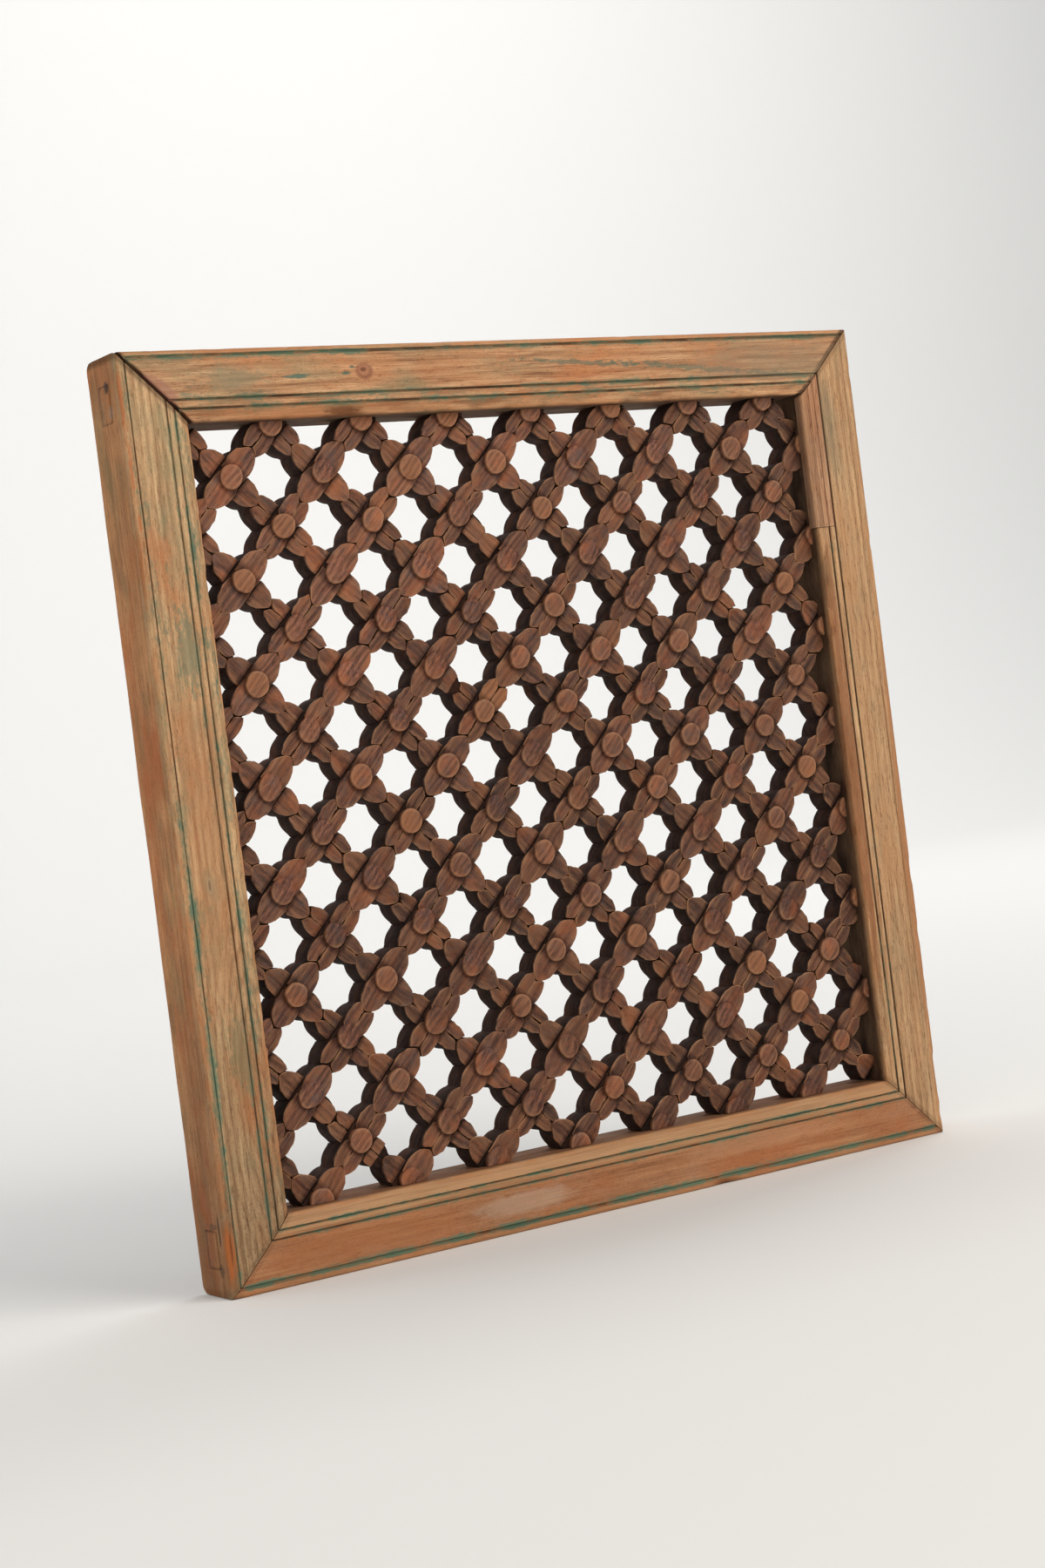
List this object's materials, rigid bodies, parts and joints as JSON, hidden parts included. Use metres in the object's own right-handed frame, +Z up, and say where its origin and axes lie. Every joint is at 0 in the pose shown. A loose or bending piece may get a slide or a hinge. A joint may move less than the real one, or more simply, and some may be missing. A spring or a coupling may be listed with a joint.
{
  "type": "carved wooden lattice panel",
  "caption": "Square wooden lattice panel in a moulded, mitred frame; diagonal bars carved into flowers, with traces of green paint. Fixes to a wall or into an opening.",
  "frame": {"origin": "middle of the top rail's back face, where the panel is fixed to a wall", "axes": "+Z up, front facing -Y, +Y out of the back into the wall, +X to the right seen from the front"},
  "size_m": [0.6, 0.044, 0.61],
  "materials": {
    "rail_timber": "old hardwood, paint stripped, reddish tan with green paint left in the grooves",
    "stile_timber": "old hardwood, paint stripped, straw tan with green paint left in the grooves",
    "repair_timber": "newer unpainted hardwood",
    "rising_timber": "dark reddish brown carved hardwood, worn lighter on rims and bosses",
    "falling_timber": "dark reddish brown carved hardwood, worn lighter on rims"
  },
  "bodies": {
    "root": {"top_rail": "rail_timber", "bottom_rail": "rail_timber", "left_stile": "stile_timber", "right_stile": "stile_timber", "repair_strip": "repair_timber", "rising_bar_01": "rising_timber", "rising_bar_02": "rising_timber", "rising_bar_03": "rising_timber", "rising_bar_04": "rising_timber", "rising_bar_05": "rising_timber", "rising_bar_06": "rising_timber", "rising_bar_07": "rising_timber", "rising_bar_08": "rising_timber", "rising_bar_09": "rising_timber", "rising_bar_10": "rising_timber", "rising_bar_11": "rising_timber", "rising_bar_12": "rising_timber", "rising_bar_13": "rising_timber", "rising_bar_14": "rising_timber", "falling_bar_01": "falling_timber", "falling_bar_02": "falling_timber", "falling_bar_03": "falling_timber", "falling_bar_04": "falling_timber", "falling_bar_05": "falling_timber", "falling_bar_06": "falling_timber", "falling_bar_07": "falling_timber", "falling_bar_08": "falling_timber", "falling_bar_09": "falling_timber", "falling_bar_10": "falling_timber", "falling_bar_11": "falling_timber", "falling_bar_12": "falling_timber", "falling_bar_13": "falling_timber", "falling_bar_14": "falling_timber", "falling_bar_15": "falling_timber"}
  },
  "joints": []
}
